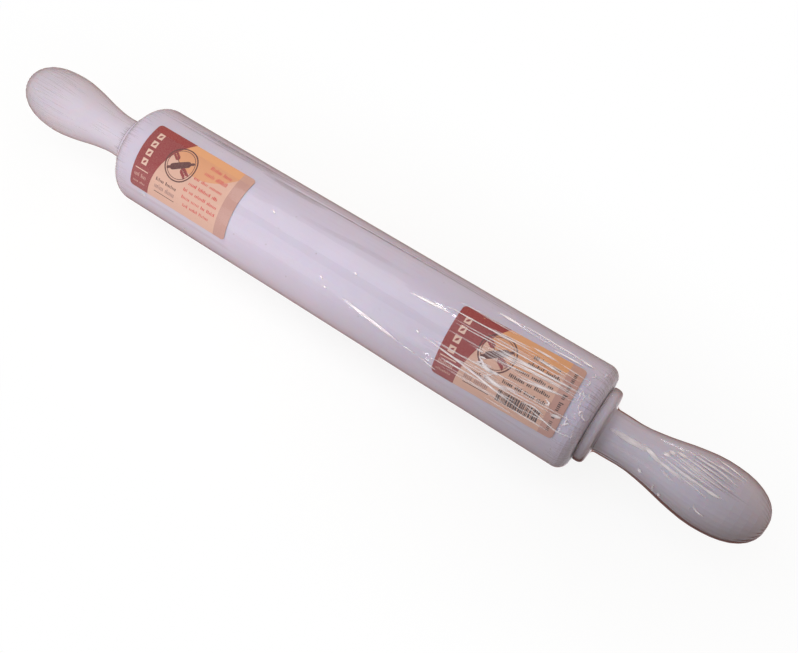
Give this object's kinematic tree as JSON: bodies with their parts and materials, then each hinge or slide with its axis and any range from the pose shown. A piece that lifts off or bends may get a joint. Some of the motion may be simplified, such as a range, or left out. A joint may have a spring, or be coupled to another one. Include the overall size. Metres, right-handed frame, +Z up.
{
  "type": "rolling pin",
  "caption": "Free-rolling plastic rolling pin: a round barrel on sealed ball bearings between two fixed bulb handles.",
  "frame": {"origin": "middle of the pin, on the axis that the barrel spins about", "axes": "+X along the pin towards the right handle, +Z up, away from the flat that the barrel rests on; the labels face up and towards -Y"},
  "size_m": [0.5, 0.06, 0.0605],
  "materials": {
    "milky_polyethylene": "satin, slightly translucent",
    "white_polyethylene": "satin",
    "bright_steel": "turned",
    "bearing_steel": "ground",
    "insert_brass": "turned",
    "cage_nylon": "moulded",
    "seal_rubber": "matte",
    "label_paper": "printed paper"
  },
  "bodies": {
    "handles_and_axle": {"axle": "bright_steel", "left_bearing_inner_ring": "bearing_steel", "left_clamp_washer": "bright_steel", "left_handle": "white_polyethylene", "left_threaded_insert": "insert_brass", "right_bearing_inner_ring": "bearing_steel", "right_clamp_washer": "bright_steel", "right_handle": "white_polyethylene", "right_threaded_insert": "insert_brass"},
    "barrel": {"barrel": "milky_polyethylene", "left_bearing_inboard_seal": "seal_rubber", "left_bearing_outboard_seal": "seal_rubber", "left_bearing_outer_ring": "bearing_steel", "left_label": "label_paper", "right_bearing_inboard_seal": "seal_rubber", "right_bearing_outboard_seal": "seal_rubber", "right_bearing_outer_ring": "bearing_steel", "right_label": "label_paper"},
    "right_cage": {"right_ball_1": "bearing_steel", "right_ball_2": "bearing_steel", "right_ball_3": "bearing_steel", "right_ball_4": "bearing_steel", "right_ball_5": "bearing_steel", "right_ball_6": "bearing_steel", "right_ball_7": "bearing_steel", "right_ball_cage": "cage_nylon"},
    "left_cage": {"left_ball_1": "bearing_steel", "left_ball_2": "bearing_steel", "left_ball_3": "bearing_steel", "left_ball_4": "bearing_steel", "left_ball_5": "bearing_steel", "left_ball_6": "bearing_steel", "left_ball_7": "bearing_steel", "left_ball_cage": "cage_nylon"}
  },
  "joints": [
    {"name": "barrel_spin", "type": "hinge", "parent": "handles_and_axle", "child": "barrel", "pos_m": [0, 0, 0], "axis": [1, 0, 0], "continuous": true},
    {"name": "right_cage_spin", "type": "hinge", "parent": "handles_and_axle", "child": "right_cage", "pos_m": [0.149, 0, 0], "axis": [1, 0, 0], "continuous": true},
    {"name": "left_cage_spin", "type": "hinge", "parent": "handles_and_axle", "child": "left_cage", "pos_m": [-0.149, 0, 0], "axis": [1, 0, 0], "continuous": true}
  ],
  "couplings": [
    {"joint": "right_cage_spin", "follows": "barrel_spin", "ratio": 0.6322},
    {"joint": "left_cage_spin", "follows": "barrel_spin", "ratio": 0.6322}
  ]
}
